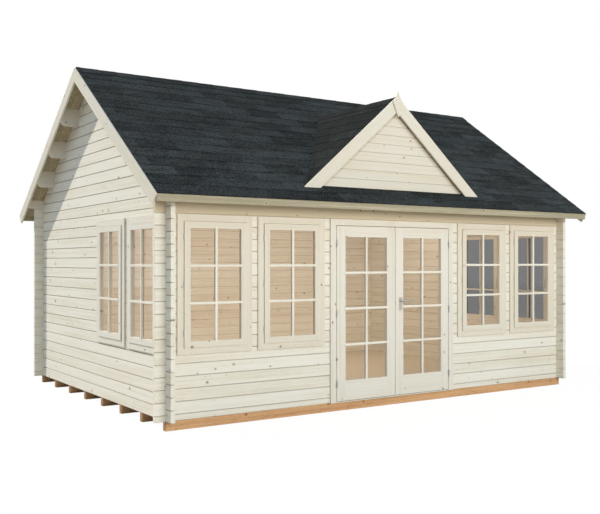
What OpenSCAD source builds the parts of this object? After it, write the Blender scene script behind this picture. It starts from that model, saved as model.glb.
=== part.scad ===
// Log summer house with a decorative front gable, glazed double doors and eight windows.
// Front is towards -Y, the ground is at Z = 0 and the origin is under the middle of the plan.

/* [Walls] */
// Width over the outer log faces
wall_w = 5310; // [5100:10:5800]
// Depth over the outer log faces
wall_d = 3760; // [3600:10:4200]
// Thickness of a log
log_t = 44; // [36:1:58]
// Height of one course of logs
log_h = 114; // [110:1:122]
// Least height of logs between the doorway and the eaves
head_h = 240; // [228:1:340]
// Length of a log end beyond the crossing wall
log_end = 105; // [60:1:140]
// Chamfer that makes the V joint between two logs
log_v = 6; // [2:0.5:8]
// Gap between logs and round their notches
log_fit = 0.4; // [0.2:0.1:0.8]

/* [Ground frame] */
// Number of bearers under the floor
bearer_count = 8; // [5:1:10]
// Width of a bearer
bearer_w = 58; // [40:1:90]
// Height of a bearer
bearer_h = 85; // [45:1:110]
// Thickness of the floor boards
floor_t = 24; // [16:1:32]

/* [Roof] */
// Pitch of the main roof in degrees
pitch = 34.9; // [30:0.1:40]
// Height of the roof boards' seat above the top course, at the outer face
plate_rise = 17; // [0:1:40]
// Reach of the roof boards beyond the front and back walls
eave_reach = 226; // [180:1:300]
// Reach of the barge boards beyond the side walls
gable_reach = 217; // [170:1:280]
// Thickness of the roof boards
deck_t = 19; // [15:1:28]
// Thickness of the shingle covering
shingle_t = 8; // [4:1:14]
// Reach of the shingles beyond the eave board
drip = 8; // [2:1:20]
// Thickness of the barge boards
barge_t = 20; // [15:1:30]
// Width of a barge board, across its slope
barge_w = 118; // [90:1:150]
// Height that a barge board stands above the shingles, negative below them
barge_rise = -8; // [-12:1:20]
// Thickness of the eave boards
fascia_t = 19; // [15:1:28]
// Height of the eave boards
fascia_h = 70; // [60:1:110]
// Thickness of a purlin
purlin_t = 44; // [36:1:70]
// Height of a purlin on its low side
purlin_h = 162; // [80:1:180]
// Purlins on each slope
purlin_count = 3; // [2:1:4]
// Distance from the ridge to the highest purlin
purlin_ridge = 500; // [400:10:850]
// Distance from the outer face of the wall to the lowest purlin
purlin_eave = 485; // [260:5:600]
// Rounding under the ends of purlins and wall plates
end_r = 50; // [10:1:60]

/* [Front gable] */
// Half of the width between the tips of the gable's barge boards
dormer_half = 1193; // [950:1:1350]
// Pitch of the front gable in degrees
dormer_pitch = 40.7; // [38:0.1:44]
// Height of its barge tips above the roof, at the front face of the boards
dormer_lift = 4; // [3:1:20]
// Distance of its barge boards in front of the front wall
dormer_out = 58; // [40:1:90]
// Height that its barge boards stand above its shingles
dormer_rise = 6; // [0:1:20]
// Width of its barge boards, across their slope
dormer_barge_w = 126; // [90:1:150]
// Setback of the boarded face behind the barge boards
dormer_back = 14; // [4:1:40]
// Thickness of the boarded face
dormer_wall_t = 19; // [15:1:28]
// Height of the finial
finial_h = 272; // [200:1:340]
// Greatest width of the finial
finial_w = 138; // [90:1:180]
// Thickness of the finial
finial_t = 20; // [12:1:30]
// Height of the finial's tip above the point of the barge boards
finial_rise = 44; // [20:1:80]

/* [Windows] */
// Gap between a corner of the house and the trim of the nearest window
corner_gap = 106; // [90:1:140]
// Gap between the trims of two windows of a pair
win_gap = 68; // [40:1:90]
// Gap between the trim of the doors and that of the nearest window
door_gap = 74; // [40:1:120]
// Front log joint on which the windows stand, counted from the ground
win_course = 5; // [4:1:6]
// Height of the door trim's top above that of the window trim
win_drop = 3; // [0:1:60]
// Width of the trim round windows
trim_w = 62; // [45:1:80]
// Thickness of the trim in front of the logs
trim_t = 18; // [10:1:28]
// Lap of the trim over the cut ends of the logs
trim_lap = 35; // [15:1:40]
// Width of the sash stiles and rails
sash_bar = 60; // [40:1:75]
// Thickness of a sash
sash_t = 40; // [30:1:50]
// Height of a sash above the face of the trim
sash_proud = 11; // [-12:1:20]
// Gap round a sash
sash_gap = 3; // [1:0.5:5]
// Thickness of the glass
glass_t = 4; // [3:1:8]

/* [Doors] */
// Width of a door leaf
leaf_w = 768; // [640:1:790]
// Height of a door leaf
leaf_h = 1794; // [1700:1:1815]
// Thickness of a door leaf
leaf_t = 40; // [34:1:50]
// Width of the stiles of a leaf
leaf_stile = 110; // [80:1:130]
// Height of the top rail of a leaf
leaf_top = 112; // [80:1:150]
// Height of the bottom rail of a leaf
leaf_bottom = 205; // [120:1:400]
// Gap round a leaf
leaf_gap = 6; // [5:0.5:10]
// Height of the threshold
sill_h = 8; // [4:1:20]
// Width of the trim beside the doorway
door_trim = 70; // [50:1:80]
// Width of the stop behind a leaf
stop_w = 14; // [8:1:20]

/* [Door fittings] */
// Radius of a hinge barrel
hinge_r = 7; // [5:0.5:9]
// Radius of a hinge pin
pin_r = 4; // [3:0.5:5]
// Length of one half of a hinge
hinge_l = 36; // [30:1:60]
// Reach of a hinge plate over the wood
hinge_plate = 12; // [9:1:50]
// Height of the lever above the wall's foot
lever_z = 1021; // [780:1:1100]
// Distance of the lever from the closing edge of its leaf
lever_in = 68; // [40:1:75]
// Length of the lever
lever_l = 150; // [80:1:160]
// Radius of the lever's grip
lever_r = 9; // [6:0.5:11]
// Stand-off of the lever from its plate
lever_off = 44; // [35:1:60]
// Width of the handle plate
plate_w = 38; // [30:1:50]
// Height of the handle plate
plate_h = 140; // [110:1:260]
// Thickness of the handle plate
plate_t = 6; // [3:1:10]

/* [Hidden] */
$fn = 48;

// Colours
spruce = [0.88, 0.84, 0.76];
treated = [0.80, 0.63, 0.44];
charcoal = [0.19, 0.22, 0.23];
clear = [0.75, 0.83, 0.85, 0.4];
steel = [0.72, 0.72, 0.70];

// Small working gaps, and the excess of a cutting shape
seat = 0.3;
joint = 0.2;
over = 10;

// Doorway, as cut in the logs, and the leaves in it
wall_z = bearer_h;
lining_t = trim_w - trim_lap - log_fit;
door_clear_w = 2 * leaf_w + 3 * leaf_gap;
door_clear_h = sill_h + leaf_h + 2 * leaf_gap;
door_ow = door_clear_w + 2 * (lining_t + log_fit);
door_oh = door_clear_h + lining_t + log_fit;
door_trim_half = door_clear_w / 2 + door_trim;
leaf_z = wall_z + sill_h + leaf_gap;
leaf_y = -trim_t;

// Hinges: the shares of a leaf's height at which they sit, and their small sizes
hinge_shares = [0.1, 0.5, 0.9];
hinge_stand = 2;
hinge_plate_t = 2.5;
pin_root = 1;
pin_end = 5;
barrel_cap = 3;
hinge_y = leaf_y - hinge_r - hinge_stand;
hinge_x = door_clear_w / 2 - leaf_gap / 2;
hinge_zs = [for (share = hinge_shares) leaf_z + leaf_h * share];

// Lever on its stile, with a loose spindle
spindle_fit = 1;
lever_x = leaf_gap / 2 + lever_in;
spindle_r = lever_r - spindle_fit;

// Heights of the walls and the roof
courses = ceil((door_oh + head_h) / log_h);
eave_z = wall_z + courses * log_h + plate_rise;
rise = tan(pitch);
deck_v = deck_t / cos(pitch);
shingle_v = shingle_t / cos(pitch);
covering_v = seat + deck_v + seat + shingle_v;
function under_z(y) = eave_z + (wall_d / 2 - abs(y)) * rise;
function roof_z(y) = under_z(y) + covering_v;
roof_in = wall_w / 2 + gable_reach - barge_t - seat;

// Wall directions: the turn about Z, and the distance of the outer face from the middle
FRONT = 0;
BACK = 180;
LEFT = -90;
RIGHT = 90;
function is_long(side) = side == FRONT || side == BACK;
function half_run(side) = (is_long(side) ? wall_w : wall_d) / 2;
function half_off(side) = (is_long(side) ? wall_d : wall_w) / 2;

// Windows: two fill the front between a corner and the doors, and end level with the door trim
win_z = wall_z + (win_course + 0.5) * log_h;
trim_z = win_z - trim_lap;
win_w = (wall_w / 2 - corner_gap - win_gap - door_gap - door_trim_half) / 2;
win_h = wall_z + door_clear_h + trim_w - win_drop - trim_z;
win_ow = win_w - 2 * trim_lap;
win_oh = win_h - 2 * trim_lap;
sash_w = win_w - 2 * (trim_w + sash_gap);
sash_h = win_h - 2 * trim_w - sash_gap - seat;
sash_z = trim_z + trim_w + seat;

// Middles of the windows along each wall, seen in that wall's own direction
win_step = win_w + win_gap;
corner_x = wall_w / 2 - corner_gap - win_w / 2;
corner_y = wall_d / 2 - corner_gap - win_w / 2;
function windows(side) =
    side == FRONT ? [-corner_x, win_step - corner_x, corner_x - win_step, corner_x] :
    side == LEFT ? [corner_y - win_step, corner_y] :
    side == RIGHT ? [-corner_y, win_step - corner_y] : [];

// Front gable
dormer_tan = tan(dormer_pitch);
dormer_y = -wall_d / 2 - dormer_out;
dormer_tip_z = roof_z(dormer_y) + dormer_lift;
dormer_apex_z = dormer_tip_z + dormer_half * dormer_tan;
dormer_step_v = dormer_rise / cos(dormer_pitch);
function dormer_z(x, drop) = dormer_apex_z - abs(x) * dormer_tan - drop;
dormer_roof_y = dormer_y + barge_t + seat;
dormer_shingle_v = shingle_t / cos(dormer_pitch);
dormer_deck_v = deck_t / cos(dormer_pitch);
dormer_deck_drop = dormer_step_v + dormer_shingle_v + seat;
dormer_wall_drop = dormer_deck_drop + dormer_deck_v + seat;

// Puts a wall drawn along X, with its outer face on Y = 0 and its room towards +Y, in its place
module on_wall(side) {
    rotate([0, 0, side]) translate([0, -half_off(side), 0]) children();
}

// Extrudes an outline drawn in Y and Z along X
module along_x(x0, x1) {
    translate([x0, 0, 0]) rotate([90, 0, 90]) linear_extrude(x1 - x0) children();
}

// Extrudes an outline drawn in X and Z along Y
module along_y(y0, y1) {
    translate([0, y1, 0]) rotate([90, 0, 0]) linear_extrude(y1 - y0) children();
}

module box(x0, x1, y0, y1, z0, z1) {
    translate([x0, y0, z0]) cube([x1 - x0, y1 - y0, z1 - z0]);
}

// A log with chamfered long edges, as it leaves the planer
module plain_log(x0, x1, z0, z1) {
    v = min(log_v, (z1 - z0) / 3);
    along_x(x0, x1) polygon([
        [0, z0 + v], [v, z0], [log_t - v, z0], [log_t, z0 + v],
        [log_t, z1 - v], [log_t - v, z1], [v, z1], [0, z1 - v]
    ]);
}

// The part of a log's height that stays at a crossing, half of the course
module notch_pair(side, z0, z1, keep0, keep1) {
    mid = half_run(side) - log_t / 2;
    reach = log_t / 2 + log_fit;
    for (x = [-mid, mid]) {
        if (keep0 > z0) box(x - reach, x + reach, -over, log_t + over, z0 - over, keep0);
        if (keep1 < z1) box(x - reach, x + reach, -over, log_t + over, keep1, z1 + over);
    }
}

// A log of a wall, notched at the corners and cut by the windows of that wall
module wall_log(side, x0, x1, z0, z1, keep0, keep1) {
    cuts = [for (x = windows(side)) if (win_z < z1 && win_z + win_oh > z0) x];
    difference() {
        plain_log(x0, x1, z0, z1);
        notch_pair(side, z0, z1, keep0, keep1);
        for (x = cuts)
            box(x - win_ow / 2, x + win_ow / 2, -over, log_t + over, win_z, win_z + win_oh);
    }
}

// Level k of a side wall, or level k + 1/2 of the front and back walls
function course_z(k) = wall_z + k * log_h;
function log_foot(k) = course_z(k) + log_fit / 2;
function log_head(k) = course_z(k + 1) - log_fit / 2;
function keep_foot(k) = course_z(k + 0.25) + log_fit / 2;
function keep_head(k) = course_z(k + 0.75) - log_fit / 2;

module side_courses(side) {
    reach = half_run(side) + log_end;
    for (k = [0 : courses - 2])
        wall_log(side, -reach, reach, log_foot(k), log_head(k), keep_foot(k), keep_head(k));
}

// The half log under the front and back walls, and the log at level k
module foot_log(side, x0, x1) {
    wall_log(side, x0, x1, wall_z, log_head(-0.5), wall_z, keep_head(-0.5));
}

module front_log(side, k, x0, x1) {
    wall_log(side, x0, x1, log_foot(k), log_head(k), keep_foot(k), keep_head(k));
}

// The wall plate: the top log, cut to the pitch, with rounded ends under the barge boards
module wall_plate(side) {
    foot = log_foot(courses - 0.5);
    difference() {
        intersection() {
            along_x(-roof_in, roof_in) polygon([
                [0, foot], [log_t, foot],
                [log_t, eave_z + log_t * rise - seat], [0, eave_z - seat]
            ]);
            along_y(-over, log_t + over) rounded_foot(roof_in, foot, log_h * 2);
        }
        notch_pair(side, foot, foot + log_h * 2, keep_foot(courses - 0.5), foot + log_h * 2);
    }
}

// Side outline of a long timber with its lower corners rounded off
module rounded_foot(half, foot, height) {
    r = min(end_r, height / 2);
    difference() {
        translate([-half, foot]) square([2 * half, height]);
        for (s = [-1, 1])
            difference() {
                translate([s * half - (s < 0 ? over : r), foot - over]) square([r + over, r + over]);
                translate([s * (half - r), foot + r]) circle(r);
            }
    }
}

module upper_courses(side, first) {
    reach = half_run(side) + log_end;
    for (k = [first : courses - 2]) front_log(side, k + 0.5, -reach, reach);
    wall_plate(side);
}

// Levels of the front wall that the doorway cuts
door_top_z = wall_z + door_oh;
door_courses = [for (k = [0 : courses - 2]) if (course_z(k + 0.5) < door_top_z) k];
head_first = len(door_courses);

module beside_door() {
    x0 = -wall_w / 2 - log_end;
    foot_log(FRONT, x0, -door_ow / 2);
    for (k = door_courses) front_log(FRONT, k + 0.5, x0, -door_ow / 2);
}

// Log strip left above the doorway, and the logs over it
module over_door() {
    strip_z = log_head(head_first - 0.5);
    if (strip_z - door_top_z > 2 * log_fit)
        plain_log(joint - door_ow / 2, door_ow / 2 - joint, door_top_z, strip_z);
    upper_courses(FRONT, head_first);
}

module front_wall_left() {
    color(spruce) on_wall(FRONT) beside_door();
}

module front_wall_right() {
    color(spruce) mirror([1, 0, 0]) on_wall(FRONT) beside_door();
}

module front_wall_head() {
    color(spruce) on_wall(FRONT) over_door();
}

module back_wall() {
    reach = wall_w / 2 + log_end;
    color(spruce) on_wall(BACK) {
        foot_log(BACK, -reach, reach);
        upper_courses(BACK, 0);
    }
}

module left_wall() {
    color(spruce) on_wall(LEFT) side_courses(LEFT);
}

module right_wall() {
    color(spruce) on_wall(RIGHT) side_courses(RIGHT);
}

// Purlins of one slope: distances from the ridge, and the outline of one
purlin_step = (wall_d / 2 - purlin_eave - purlin_ridge) / (purlin_count - 1);
purlin_ys = [for (i = [0 : purlin_count - 1]) purlin_ridge + i * purlin_step];
function purlin_foot(y) = under_z(y + purlin_t / 2) - purlin_h;

// Half of a gable log's length at height z, and the least end of a log beyond a purlin
function gable_half(z) = (under_z(0) - seat - z) / rise;
least_end = 30;

// A slot for a purlin, which takes the log's end with it where little would be left
module purlin_slot(y, foot) {
    half = purlin_t / 2 + log_fit;
    left = gable_half(foot) - y - half;
    y1 = y + half + (left < least_end ? least_end : 0);
    box(y - half, y1, -over, log_t + over, purlin_foot(y) - log_fit, under_z(0));
}

// Gable logs: the courses above the eaves, cut to the pitch and notched for the purlins
module gable_log(side, k) {
    foot = log_foot(k);
    top = min(log_head(k), under_z(0) - seat);
    inner = wall_d / 2 - log_t - log_fit;
    reach = k < courses ? wall_d / 2 + log_end : inner;
    slots = [for (y = purlin_ys) if (purlin_foot(y) < top && under_z(y - purlin_t) > foot) y];
    difference() {
        intersection() {
            plain_log(-reach, reach, foot, log_head(k));
            along_y(-over, log_t + over) gable_outline();
        }
        if (k < courses) notch_pair(side, foot, top, keep_foot(k), keep_head(k));
        for (y = slots, s = [0, 1]) mirror([s, 0, 0]) purlin_slot(y, foot);
    }
}

module gable_outline() {
    half = wall_d / 2 + log_end + over;
    polygon([
        [-half, under_z(half) - seat], [0, under_z(0) - seat], [half, under_z(half) - seat],
        [half, wall_z], [-half, wall_z]
    ]);
}

// Level of the top log, which keeps at least this share of a course under the ridge
least_log = 0.15;
gable_top = floor((under_z(0) - seat - wall_z - log_fit) / log_h - least_log);

module gable(side) {
    color(spruce) on_wall(side) for (k = [courses - 1 : gable_top]) gable_log(side, k);
}

module left_gable() {
    gable(LEFT);
}

module right_gable() {
    gable(RIGHT);
}

module bearers() {
    step = (wall_d - bearer_w) / (bearer_count - 1);
    color(treated) for (i = [0 : bearer_count - 1])
        translate([0, i * step - wall_d / 2, 0])
            box(-wall_w / 2, wall_w / 2, 0, bearer_w, 0, bearer_h - joint);
}

module floor() {
    x = wall_w / 2 - log_t - seat;
    y = wall_d / 2 - log_t - seat;
    color(spruce) box(-x, x, -y, y, wall_z, wall_z + floor_t);
}

module purlin(y) {
    half = purlin_t / 2;
    foot = purlin_foot(y);
    intersection() {
        along_x(-roof_in, roof_in) polygon([
            [y - half, foot], [y + half, foot],
            [y + half, under_z(y + half) - seat], [y - half, under_z(y - half) - seat]
        ]);
        along_y(0, wall_d) rounded_foot(roof_in, foot, 3 * purlin_h);
    }
}

module purlins() {
    color(spruce) for (y = purlin_ys, s = [0, 1]) mirror([0, s, 0]) purlin(y);
}

// One layer of the back slope, from the ridge to its own reach beyond the wall
module slope_layer(low, high, reach) {
    y0 = joint;
    y1 = wall_d / 2 + reach;
    along_x(-roof_in, roof_in) polygon([
        [y0, under_z(y0) + low], [y0, under_z(y0) + high],
        [y1, under_z(y1) + high], [y1, under_z(y1) + low]
    ]);
}

module roof_boards_back() {
    color(spruce) slope_layer(seat, seat + deck_v, eave_reach);
}

module roof_boards_front() {
    mirror([0, 1, 0]) roof_boards_back();
}

module shingles_back() {
    color(charcoal) slope_layer(2 * seat + deck_v, covering_v, eave_reach + fascia_t + drip);
}

module shingles_front() {
    mirror([0, 1, 0]) shingles_back();
}

module eave_board_back() {
    y0 = wall_d / 2 + eave_reach + joint;
    y1 = y0 + fascia_t;
    top = seat + deck_v;
    color(spruce) along_x(-roof_in, roof_in) polygon([
        [y0, under_z(y0) + top], [y1, under_z(y1) + top],
        [y1, under_z(y1) + top - fascia_h], [y0, under_z(y1) + top - fascia_h]
    ]);
}

module eave_board_front() {
    mirror([0, 1, 0]) eave_board_back();
}

// Barge boards of one end: two boards that meet on a plumb cut at the ridge, with square feet
module barge_pair() {
    y0 = joint;
    y1 = wall_d / 2 + eave_reach + fascia_t + drip;
    up = covering_v + barge_rise / cos(pitch);
    down = up - barge_w / cos(pitch);
    foot_y = y1 - barge_w * sin(pitch);
    x = wall_w / 2 + gable_reach;
    color(spruce) for (s = [0, 1]) mirror([0, s, 0]) along_x(x - barge_t, x) polygon([
        [y0, under_z(y0) + up], [y1, under_z(y1) + up],
        [foot_y, under_z(foot_y) + down], [y0, under_z(y0) + down]
    ]);
}

module barge_boards_right() {
    barge_pair();
}

module barge_boards_left() {
    mirror([1, 0, 0]) barge_pair();
}

// Everything under the top of the front slope, with a small gap above it
module front_slope_mass() {
    y0 = -wall_d / 2 - eave_reach - fascia_t - 2 * drip;
    along_x(-wall_w / 2, wall_w / 2) polygon([
        [y0, roof_z(y0) + seat], [0, roof_z(0) + seat], [0, wall_z], [y0, wall_z]
    ]);
}

// One sloping layer of the front gable's roof, on the right, down to the main roof
module dormer_layer(high, low) {
    x1 = dormer_half - high / dormer_tan;
    difference() {
        along_y(dormer_roof_y, 0) polygon([
            [joint, dormer_z(joint, high)], [x1, dormer_z(x1, high)],
            [x1, dormer_z(x1, low)], [joint, dormer_z(joint, low)]
        ]);
        front_slope_mass();
    }
}

module dormer_boards() {
    color(spruce) for (s = [0, 1]) mirror([s, 0, 0])
        dormer_layer(dormer_deck_drop, dormer_deck_drop + dormer_deck_v);
}

module dormer_shingles() {
    color(charcoal) for (s = [0, 1]) mirror([s, 0, 0])
        dormer_layer(dormer_step_v, dormer_step_v + dormer_shingle_v);
}

module dormer_gable() {
    y0 = dormer_y + barge_t + dormer_back;
    x = dormer_half - dormer_wall_drop / dormer_tan;
    color(spruce) difference() {
        along_y(y0, y0 + dormer_wall_t) polygon([
            [0, dormer_z(0, dormer_wall_drop)],
            [x, dormer_z(x, dormer_wall_drop)], [-x, dormer_z(x, dormer_wall_drop)]
        ]);
        front_slope_mass();
    }
}

// Barge boards of the front gable, with their feet cut to the main roof
module dormer_barge_boards() {
    width_v = dormer_barge_w / cos(dormer_pitch);
    foot_x = dormer_half - width_v / dormer_tan;
    color(spruce) for (s = [0, 1]) mirror([s, 0, 0]) difference() {
        along_y(dormer_y, dormer_y + barge_t) polygon([
            [joint, dormer_z(joint, 0)], [dormer_half, dormer_tip_z],
            [foot_x, dormer_tip_z], [joint, dormer_z(joint, width_v)]
        ]);
        front_slope_mass();
    }
}

// Finial: a spearhead whose upper edges are hollow; its shares of its own height
finial_head = 0.42;
finial_hollow = 0.75;

module finial() {
    tip = dormer_apex_z + finial_rise;
    wide_z = tip - finial_h * finial_head;
    hollow_r = finial_h * finial_hollow;
    edge = [finial_w / 2, wide_z - tip];
    half_edge = norm(edge) / 2;
    out = sqrt(hollow_r * hollow_r - half_edge * half_edge);
    normal = [-edge[1], edge[0]] / norm(edge);
    middle = [edge[0] / 2, (tip + wide_z) / 2] + out * normal;
    y1 = dormer_y - seat;
    color(spruce) along_y(y1 - finial_t, y1) difference() {
        polygon([
            [0, tip], [finial_w / 2, wide_z], [0, tip - finial_h], [-finial_w / 2, wide_z]
        ]);
        for (s = [-1, 1]) translate([s * middle[0], middle[1]]) circle(hollow_r, $fn = 96);
    }
}

// Four bars round an opening, the uprights running through, on the face of a wall
module bar_ring(x, w, z0, z1, side_w, foot_w, head_w, y0, y1) {
    for (s = [-1, 1])
        translate([x + s * (w - side_w) / 2, 0, 0])
            box(-side_w / 2, side_w / 2, y0, y1, z0, z1);
    x1 = w / 2 - side_w - joint;
    if (foot_w > 0) box(x - x1, x + x1, y0, y1, z0, z0 + foot_w);
    box(x - x1, x + x1, y0, y1, z1 - head_w, z1);
}

module window_frame(x) {
    ow = win_ow - 2 * log_fit;
    bar_ring(x, win_w, trim_z, trim_z + win_h, trim_w, trim_w, trim_w, -trim_t, -seat);
    bar_ring(x, ow, win_z + log_fit, win_z + win_oh - log_fit, lining_t, lining_t, lining_t, 0, log_t);
}

module window_sash(x) {
    y0 = -trim_t - sash_proud;
    bar_ring(x, sash_w, sash_z, sash_z + sash_h, sash_bar, sash_bar, sash_bar, y0, y0 + sash_t);
}

module window_pane(x) {
    half = sash_w / 2 - sash_bar - seat;
    y0 = -trim_t - sash_proud + (sash_t - glass_t) / 2;
    box(x - half, x + half, y0, y0 + glass_t, sash_z + sash_bar + seat, sash_z + sash_h - sash_bar - seat);
}

module window_frames(side) {
    color(spruce) on_wall(side) for (x = windows(side)) window_frame(x);
}

module window_sashes(side) {
    color(spruce) on_wall(side) for (x = windows(side)) window_sash(x);
}

module window_panes(side) {
    color(clear) on_wall(side) for (x = windows(side)) window_pane(x);
}

// Door frame: trim, lining with a stop behind the leaves, and a threshold
module door_frame() {
    z1 = wall_z + door_clear_h;
    lining_w = door_clear_w + 2 * lining_t;
    stop_y = leaf_y + leaf_t + leaf_gap;
    half = door_clear_w / 2 - joint;
    color(spruce) on_wall(FRONT) {
        bar_ring(0, 2 * door_trim_half, wall_z, z1 + trim_w, door_trim, 0, trim_w, -trim_t, -seat);
        bar_ring(0, lining_w, wall_z, z1 + lining_t, lining_t, 0, lining_t, 0, log_t);
        bar_ring(0, 2 * half, wall_z + sill_h + joint, z1 - joint, stop_w, 0, stop_w, stop_y, log_t);
        box(-half, half, -trim_t, log_t, wall_z, wall_z + sill_h);
    }
}

// The right-hand leaf; the left one is its mirror image without the lever's bore
module leaf(bored) {
    x = door_clear_w / 2 - leaf_gap - leaf_w / 2;
    color(spruce) on_wall(FRONT) difference() {
        bar_ring(x, leaf_w, leaf_z, leaf_z + leaf_h, leaf_stile, leaf_bottom, leaf_top,
            leaf_y, leaf_y + leaf_t);
        if (bored)
            translate([lever_x, leaf_y - over, wall_z + lever_z]) rotate([-90, 0, 0])
                cylinder(r = lever_r, h = leaf_t + 2 * over);
    }
}

module leaf_glass() {
    x = door_clear_w / 2 - leaf_gap - leaf_w / 2;
    half = leaf_w / 2 - leaf_stile - seat;
    y0 = leaf_y + (leaf_t - glass_t) / 2;
    color(clear) on_wall(FRONT)
        box(x - half, x + half, y0, y0 + glass_t,
            leaf_z + leaf_bottom + seat, leaf_z + leaf_h - leaf_top - seat);
}

module door_leaf_right() {
    leaf(true);
}

module door_leaf_left() {
    mirror([1, 0, 0]) leaf(false);
}

module door_glass_right() {
    leaf_glass();
}

module door_glass_left() {
    mirror([1, 0, 0]) leaf_glass();
}

// Lift-off hinges: a fixed half with the pin, and a barrel on the leaf that stands on it
module hinge_plate_bar(x0, x1, z0) {
    box(x0, x1, leaf_y - seat - hinge_plate_t, leaf_y - seat, z0, z0 + hinge_l);
}

module hinge_pins() {
    color(steel) on_wall(FRONT) for (s = [0, 1], z = hinge_zs) mirror([s, 0, 0]) {
        translate([hinge_x, hinge_y, z - hinge_l]) cylinder(r = hinge_r, h = hinge_l);
        translate([hinge_x, hinge_y, z - pin_root]) cylinder(r = pin_r, h = hinge_l - pin_end + pin_root);
        hinge_plate_bar(hinge_x, hinge_x + hinge_plate, z - hinge_l);
    }
}

module hinge_barrels() {
    color(steel) on_wall(FRONT) for (z = hinge_zs) difference() {
        union() {
            translate([hinge_x, hinge_y, z + seat]) cylinder(r = hinge_r, h = hinge_l);
            translate([0, 0, seat]) hinge_plate_bar(hinge_x - hinge_plate, hinge_x, z);
        }
        translate([hinge_x, hinge_y, z - over])
            cylinder(r = pin_r + seat, h = hinge_l + over - barrel_cap);
    }
}

module hinge_barrels_right() {
    hinge_barrels();
}

module hinge_barrels_left() {
    mirror([1, 0, 0]) hinge_barrels();
}

// Long handle plates on both faces of the right leaf, with a bore for the lever's neck
module handle_plates() {
    z1 = wall_z + lever_z + plate_w;
    back_y = leaf_y + leaf_t + seat;
    color(steel) on_wall(FRONT) for (y = [leaf_y - seat - plate_t, back_y]) difference() {
        box(lever_x - plate_w / 2, lever_x + plate_w / 2, y, y + plate_t, z1 - plate_h, z1);
        translate([lever_x, y - over, wall_z + lever_z]) rotate([-90, 0, 0])
            cylinder(r = lever_r, h = plate_t + 2 * over);
    }
}

// Lever: two grips on one round spindle through the leaf
module lever_grip() {
    r = lever_r;
    rotate([0, 90, 0]) rotate_extrude() difference() {
        translate([0, -r]) square([r, lever_l + r]);
        for (z = [0, lever_l - r])
            difference() {
                translate([0, z == 0 ? -r - over : z]) square([r + over, r + over]);
                translate([0, z]) circle(r);
            }
    }
}

module door_lever() {
    y0 = leaf_y - seat - plate_t - lever_off;
    y1 = leaf_y + leaf_t + seat + plate_t + lever_off;
    color(steel) on_wall(FRONT) translate([lever_x, 0, wall_z + lever_z]) {
        translate([0, y0, 0]) rotate([-90, 0, 0]) cylinder(r = spindle_r, h = y1 - y0);
        for (y = [y0, y1]) translate([0, y, 0]) lever_grip();
    }
}

bearers();
floor();
front_wall_left();
front_wall_right();
front_wall_head();
back_wall();
left_wall();
right_wall();
left_gable();
right_gable();
purlins();
roof_boards_front();
roof_boards_back();
shingles_front();
shingles_back();
barge_boards_left();
barge_boards_right();
eave_board_front();
eave_board_back();
dormer_gable();
dormer_boards();
dormer_shingles();
dormer_barge_boards();
finial();
door_frame();
door_leaf_left();
door_leaf_right();
door_glass_left();
door_glass_right();
hinge_pins();
hinge_barrels_left();
hinge_barrels_right();
handle_plates();
door_lever();
window_frames(FRONT);  // window_frames_front
window_frames(LEFT);  // window_frames_left
window_frames(RIGHT);  // window_frames_right
window_sashes(FRONT);  // window_sashes_front
window_sashes(LEFT);  // window_sashes_left
window_sashes(RIGHT);  // window_sashes_right
window_panes(FRONT);  // window_glass_front
window_panes(LEFT);  // window_glass_left
window_panes(RIGHT);  // window_glass_right
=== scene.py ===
"""Boards, shingles, glazing bars, fittings and finishes of a log summer house, on its CAD frame."""

import math

import bmesh
import bpy
from mathutils import Matrix, Vector


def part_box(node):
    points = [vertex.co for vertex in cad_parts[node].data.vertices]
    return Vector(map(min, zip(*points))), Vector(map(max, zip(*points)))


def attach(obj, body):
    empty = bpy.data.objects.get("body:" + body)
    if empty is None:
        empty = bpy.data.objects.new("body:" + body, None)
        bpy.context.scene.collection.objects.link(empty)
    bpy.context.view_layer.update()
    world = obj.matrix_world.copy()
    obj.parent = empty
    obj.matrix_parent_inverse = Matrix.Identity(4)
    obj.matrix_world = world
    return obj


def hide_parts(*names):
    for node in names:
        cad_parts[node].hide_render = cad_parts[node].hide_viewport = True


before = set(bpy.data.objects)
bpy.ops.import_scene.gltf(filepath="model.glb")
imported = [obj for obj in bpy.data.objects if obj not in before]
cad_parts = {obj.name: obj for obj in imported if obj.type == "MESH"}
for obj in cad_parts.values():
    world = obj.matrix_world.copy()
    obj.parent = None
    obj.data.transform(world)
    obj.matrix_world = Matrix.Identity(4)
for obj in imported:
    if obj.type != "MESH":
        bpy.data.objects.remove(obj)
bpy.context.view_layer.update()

bl_info = {
    "name": "Summer House Looks",
    "version": (1, 0, 0),
    "blender": (4, 5, 0),
    "location": "View3D > Sidebar > Summer House",
    "description": "Boards, shingles, glazing bars, fittings and finishes of a log summer house",
    "category": "Object",
}

TONE = "tone"
X, Y, Z = 0, 1, 2

# Gaps between two boards, and between a glazing bar and its glass
BOARD_GAP = 0.0006
FLOOR_GAP = 0.0008
GLASS_GAP = 0.0008


def srgb(red, green, blue):
    """A colour as picked from a picture, from 0 to 255, as the linear colour that Blender uses."""
    def linear(level):
        share = level / 255
        return share / 12.92 if share <= 0.04045 else ((share + 0.055) / 1.055) ** 2.4
    return linear(red), linear(green), linear(blue)


# The frame's own measures, read from its nodes

def corners(node):
    """Every corner of a CAD node's mesh."""
    return [vertex.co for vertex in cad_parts[node].data.vertices]


def stretches(node, axis):
    """Where a node's separate boxes start and end along an axis."""
    levels = sorted({round(corner[axis], 4) for corner in corners(node)})
    return list(zip(levels[::2], levels[1::2]))


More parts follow.
